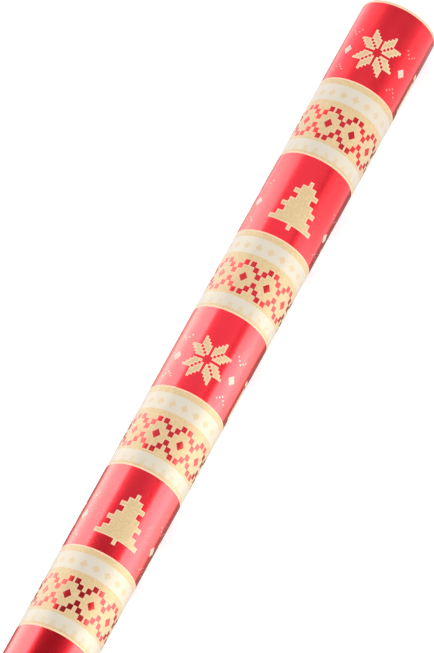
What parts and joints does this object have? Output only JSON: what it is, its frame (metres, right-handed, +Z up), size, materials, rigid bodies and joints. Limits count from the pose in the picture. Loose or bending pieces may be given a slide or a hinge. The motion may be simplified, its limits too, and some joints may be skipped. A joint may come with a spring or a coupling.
{
  "type": "wrapping paper roll",
  "caption": "Long roll of printed foil gift wrap on a chipboard core, with a free end that uncurls and a core that slides out.",
  "frame": {"origin": "on the surface under the middle of the lying roll", "axes": "+X along the roll towards the end that the trees' tips point to, +Z up; the free end of the paper is at the back, on the +Y side"},
  "size_m": [0.7, 0.038, 0.038],
  "materials": {
    "foil_paper": "gloss",
    "chipboard": "matte",
    "core_liner": "matte"
  },
  "bodies": {
    "winding": {"wound_paper": "foil_paper"},
    "core": {"core_liner_ply": "core_liner", "core_middle_ply": "chipboard", "core_outer_ply": "chipboard"},
    "leaf_1": {"leaf_strip_1": "foil_paper"},
    "leaf_2": {"leaf_strip_2": "foil_paper"},
    "leaf_3": {"leaf_strip_3": "foil_paper"},
    "leaf_4": {"leaf_strip_4": "foil_paper"},
    "leaf_5": {"leaf_strip_5": "foil_paper"}
  },
  "joints": [
    {"name": "core_slide", "type": "slide", "parent": "winding", "child": "core", "axis": [1, 0, 0], "range_m": [-0.2, 0.2]},
    {"name": "leaf_uncurl_1", "type": "hinge", "parent": "winding", "child": "leaf_1", "pos_m": [0, 0.00363, 0.00035], "axis": [-1, 0, 0], "range_deg": [0, 19.8], "stiffness_Nm_per_rad": 0.02, "springref_deg": -5.73},
    {"name": "leaf_uncurl_2", "type": "hinge", "parent": "leaf_1", "child": "leaf_2", "pos_m": [0, 0.00973, 0.00268], "axis": [-1, 0, 0], "range_deg": [0, 19.8], "stiffness_Nm_per_rad": 0.02, "springref_deg": -5.73},
    {"name": "leaf_uncurl_3", "type": "hinge", "parent": "leaf_2", "child": "leaf_3", "pos_m": [0, 0.01468, 0.00694], "axis": [-1, 0, 0], "range_deg": [0, 19.8], "stiffness_Nm_per_rad": 0.02, "springref_deg": -5.73},
    {"name": "leaf_uncurl_4", "type": "hinge", "parent": "leaf_3", "child": "leaf_4", "pos_m": [0, 0.0179, 0.01263], "axis": [-1, 0, 0], "range_deg": [0, 19.8], "stiffness_Nm_per_rad": 0.02, "springref_deg": -5.73},
    {"name": "leaf_uncurl_5", "type": "hinge", "parent": "leaf_4", "child": "leaf_5", "pos_m": [0, 0.019, 0.01907], "axis": [-1, 0, 0], "range_deg": [0, 19.8], "stiffness_Nm_per_rad": 0.02, "springref_deg": -5.73}
  ]
}
